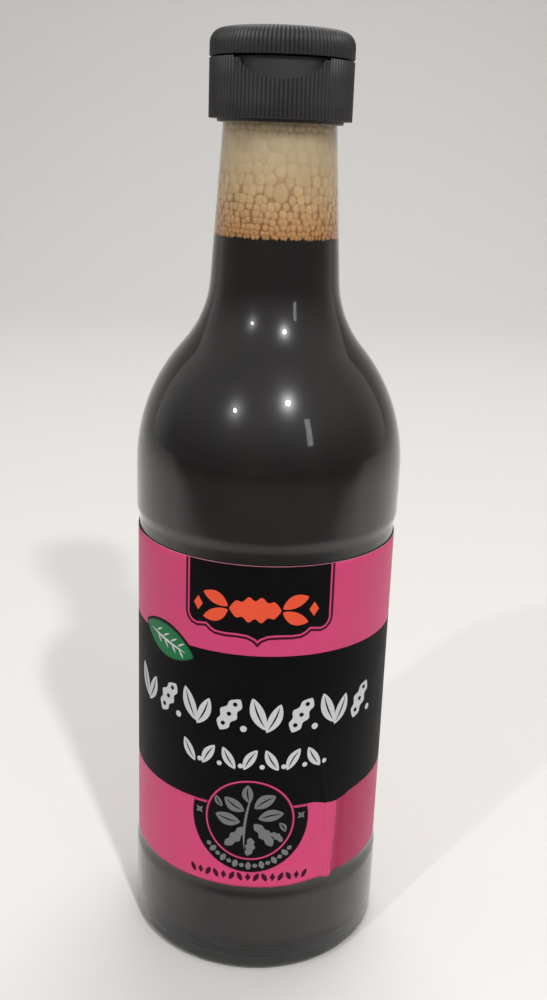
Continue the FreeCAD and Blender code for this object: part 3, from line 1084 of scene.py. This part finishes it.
# %% Cap base
base_outline = [(cap_radius - edge_round, cap_bottom), (cap_radius, cap_bottom + edge_round),
                (cap_radius, cap_bottom + 3), (cap_radius, cap_bottom + 7),
                (cap_radius, cap_base_top - edge_round), (cap_radius - edge_round, cap_base_top),
                (spout_radius + 0.4, cap_base_top), (spout_radius, cap_base_top + 0.4),
                (spout_radius, spout_top - 0.3), (spout_radius - 0.3, spout_top),
                (spout_bore + 0.25, spout_top), (spout_bore, spout_top - 0.25),
                (spout_bore, deck_bottom), (cap_bore, deck_bottom),
                (cap_bore, skirt_bottom), (skirt_radius - edge_round, skirt_bottom),
                (skirt_radius, skirt_bottom + edge_round), (skirt_radius, cap_bottom)]
bm = spun(base_outline + base_outline[:1], 4 * rib_count)
press_ribs(bm, cap_base_top + 1, cap_radius - 1)
cap_base = new_piece("cap_base_moulding", bm, 50)
notch = hollow_cutter(7.7, lambda share: notch_height * math.sqrt(max(0.0, 1 - share ** 2)),
                      "notch_cutter")
nail_gap = hollow_cutter(8.75, lambda share: 0.4, "nail_gap_cutter")
room = rod_piece("lid_knuckle_room", [(-2.15, 2.15)], knuckle_room)
cut_away(cap_base, [notch, nail_gap, room])
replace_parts(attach(cap_base, "bottle"), "cap_base")
base_knuckles = rod_piece("cap_base_knuckles", [(-4.15, -2.15), (2.15, 4.15)], knuckle_radius, 0.2)
hinge_pin = rod_piece("cap_hinge_pin", [(-3.2, 3.2)], 0.45)
for piece in (base_knuckles, hinge_pin):
    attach(piece, "bottle")
# The floor of the thumb notch takes the second paint: smoother, and painted lighter as a painted
# sheen.
for face in cap_base.data.polygons:
    off_floor = face.center.xy.length / MM - (cap_radius - notch_depth)
    high = face.center.z > (cap_base_top - notch_height - 0.3) * MM
    if face.center.y < -8 * MM and high and abs(off_floor) < 0.04:
        face.material_index = 1
print("cap base has", len(cap_base.data.polygons), "faces")

# %% Cap lid
lid_edge = cap_radius - lid_corner
lid_rim = lid_top - lid_dome
lid_outline = crown(lid_edge, lid_rim, lid_dome)
lid_outline += arc((lid_edge, lid_rim - lid_corner), lid_corner, 90, 0, 12)[1:]
lid_outline += [(cap_radius, lid_bottom + edge_round), (cap_radius - edge_round, lid_bottom),
                (lid_inside, lid_bottom), (lid_inside, hollow_top - 0.5),
                (lid_inside - 0.5, hollow_top), (5.6, hollow_top), (5.6, cap_base_top + 1.35),
                (5.4, cap_base_top + 1.15), (4.9, cap_base_top + 1.15),
                (4.7, cap_base_top + 1.35), (4.7, hollow_top), (0, hollow_top)]
bm = spun(lid_outline, 4 * rib_count)
press_ribs(bm, lid_rim - lid_corner, lid_edge)
cap_lid = new_piece("cap_lid_moulding", bm, 50)
room = rod_piece("base_knuckle_room", [(-4.3, -2.0), (2.0, 4.3)], knuckle_room)
cut_away(cap_lid, [room])
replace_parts(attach(cap_lid, "lid"), "cap_lid")
lid_knuckle = rod_piece("cap_lid_knuckle", [(-2.0, 2.0)], knuckle_radius, 0.2)
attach(lid_knuckle, "lid")
print("cap lid has", len(cap_lid.data.polygons), "faces")

# %% Cap finish
def cap_plastic(name, dark, pale, smooth, rough):
    """Black moulded plastic whose tone and roughness wander between two values each."""
    tones = [(tone, 0.95 * tone, blue * tone, 1) for tone, blue in ((dark, 0.94), (pale, 0.93))]
    return grained_paint(name, tones, (smooth, rough), (240, 5), (2200, 4), 0.6)[0]


ribbed_paint = cap_plastic("black_cap", 0.016, 0.034, 0.42, 0.60)
# Painted sheen: the notch paint is smoother and also a lighter tone, which stands in for the soft
# reflection on its floor.
notch_smooth_painted_sheen_paint = cap_plastic("black_cap_polished_painted_sheen", 0.026, 0.046, 0.22, 0.40)
for piece in (cap_base, base_knuckles, hinge_pin, cap_lid, lid_knuckle):
    piece.data.materials.clear()
    piece.data.materials.append(ribbed_paint)
cap_base.data.materials.append(notch_smooth_painted_sheen_paint)
print("cap finished")

# %% [markdown]
# The Standard view shows a colour about as it is written.

# %% Finish
bpy.context.scene.view_settings.view_transform = "Standard"
